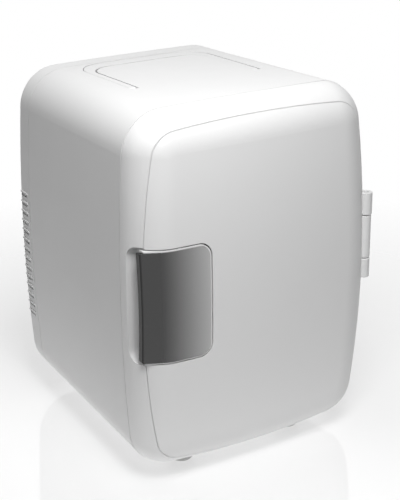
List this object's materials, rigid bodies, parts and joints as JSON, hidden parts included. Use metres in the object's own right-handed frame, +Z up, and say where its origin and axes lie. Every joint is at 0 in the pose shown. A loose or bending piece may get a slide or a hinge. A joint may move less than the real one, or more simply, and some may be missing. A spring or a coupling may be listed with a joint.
{
  "type": "mini fridge",
  "caption": "Small thermoelectric fridge: rounded casing, side-hung door with a pull latch, folding top handle, rear fan and sockets, inner shelf and door bin.",
  "frame": {"origin": "on the floor plane under the middle of the fridge, between its four feet", "axes": "+X to the right as one faces the door, +Y towards the rear cover, +Z up; the door is on the -Y side"},
  "size_m": [0.2004, 0.2096, 0.2755],
  "materials": {
    "shell_white": "satin moulded",
    "door_white": "satin moulded",
    "frame_white": "satin moulded",
    "handle_white": "satin moulded",
    "inner_white": "smooth moulded",
    "latch_grey": "polished graphite grey",
    "liner_metal": "anodised",
    "sink_metal": "extruded",
    "foam": "rigid foam",
    "seal_rubber": "matt",
    "foot_rubber": "matt",
    "screw_steel": "zinc plated",
    "pin_steel": "ground",
    "spring_steel": "drawn wire",
    "contact_brass": "nickel flashed",
    "module_white": "ceramic plates",
    "black_plastic": "fine grain",
    "rocker_black": "gloss",
    "board_green": "lacquered",
    "parts_dark": "moulded and sleeved",
    "light_lens": "tinted lens",
    "shelf_clear": "frosted"
  },
  "bodies": {
    "cabinet": {"outer_shell": "shell_white", "front_frame": "frame_white", "rear_cover": "shell_white", "inner_liner": "liner_metal", "cabinet_foam": "foam", "rear_bulkhead": "inner_white", "cold_block": "sink_metal", "peltier_module": "module_white", "module_seal": "foam", "heat_sink": "sink_metal", "heat_sink_screws": "screw_steel", "fan_frame": "black_plastic", "fan_screws": "screw_steel", "power_board": "board_green", "board_parts": "parts_dark", "board_screws": "screw_steel", "mains_inlet": "black_plastic", "mains_pins": "contact_brass", "car_inlet": "black_plastic", "car_inlet_pin": "contact_brass", "switch_housing": "black_plastic", "mode_lights": "light_lens", "rear_cover_screws": "screw_steel", "foot_front_left": "foot_rubber", "foot_front_right": "foot_rubber", "foot_rear_left": "foot_rubber", "foot_rear_right": "foot_rubber", "handle_pins": "pin_steel", "hinge_pin": "pin_steel"},
    "door": {"door_panel": "door_white", "door_liner": "inner_white", "door_foam": "foam", "door_gasket": "seal_rubber", "door_screws": "screw_steel", "latch_pin": "pin_steel", "latch_spring": "spring_steel"},
    "latch": {"latch_lever": "door_white", "latch_plate": "latch_grey"},
    "handle": {"carry_handle": "handle_white"},
    "fan": {"fan_rotor": "black_plastic"},
    "rocker": {"switch_rocker": "rocker_black"},
    "shelf": {"shelf": "shelf_clear"},
    "bin": {"door_bin": "shelf_clear"}
  },
  "joints": [
    {"name": "door_hinge", "type": "hinge", "parent": "cabinet", "child": "door", "pos_m": [0.09475, -0.09212, 0.1587], "axis": [0, 0, 1], "range_deg": [0, 135]},
    {"name": "latch_pivot", "type": "hinge", "parent": "door", "child": "latch", "pos_m": [-0.058, -0.098, 0.1435], "axis": [0, 0, 1], "range_deg": [0, 18], "stiffness_Nm_per_rad": 0.15, "springref_deg": -11.46},
    {"name": "handle_pivot", "type": "hinge", "parent": "cabinet", "child": "handle", "pos_m": [0, -0.0068, 0.26846], "axis": [1, 0, 0], "range_deg": [0, 90]},
    {"name": "fan_spin", "type": "hinge", "parent": "cabinet", "child": "fan", "pos_m": [0, 0.094, 0.1605], "axis": [0, 1, 0], "continuous": true},
    {"name": "switch_rock", "type": "hinge", "parent": "cabinet", "child": "rocker", "pos_m": [0, 0.1, 0.0495], "axis": [1, 0, 0], "range_deg": [-10, 10]},
    {"name": "shelf_slide", "type": "slide", "parent": "cabinet", "child": "shelf", "axis": [0, -1, 0], "range_m": [0, 0.022]},
    {"name": "bin_lift", "type": "slide", "parent": "door", "child": "bin", "axis": [0, 0, 1], "range_m": [0, 0.03]}
  ]
}
